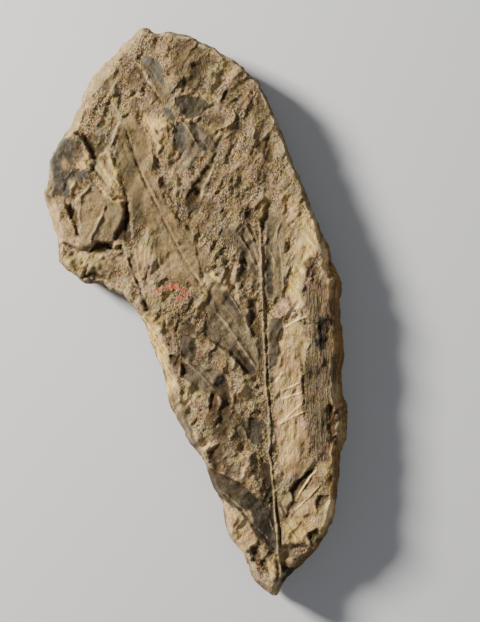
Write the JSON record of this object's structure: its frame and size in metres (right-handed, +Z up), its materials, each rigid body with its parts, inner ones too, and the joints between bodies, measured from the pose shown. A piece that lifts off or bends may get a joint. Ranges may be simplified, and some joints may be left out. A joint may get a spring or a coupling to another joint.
{
  "type": "fossil fern plate",
  "caption": "Loose elongated siltstone plate, fossil face up, with fern-like leaf and stem impressions in low relief and a flat rest face underneath.",
  "frame": {"origin": "middle of the bounding box, at the surface the plate rests on", "axes": "+Z up out of the fossil face, +Y along the length towards the broad end, +X towards the long straight edge beside the main stem"},
  "size_m": [0.0986, 0.1837, 0.0195],
  "materials": {
    "siltstone": "matt grey-brown siltstone, rough and granular, with darker carbon films on the leaves and a paler broken rim"
  },
  "bodies": {
    "root": {"fossil_plate": "siltstone"}
  },
  "joints": []
}
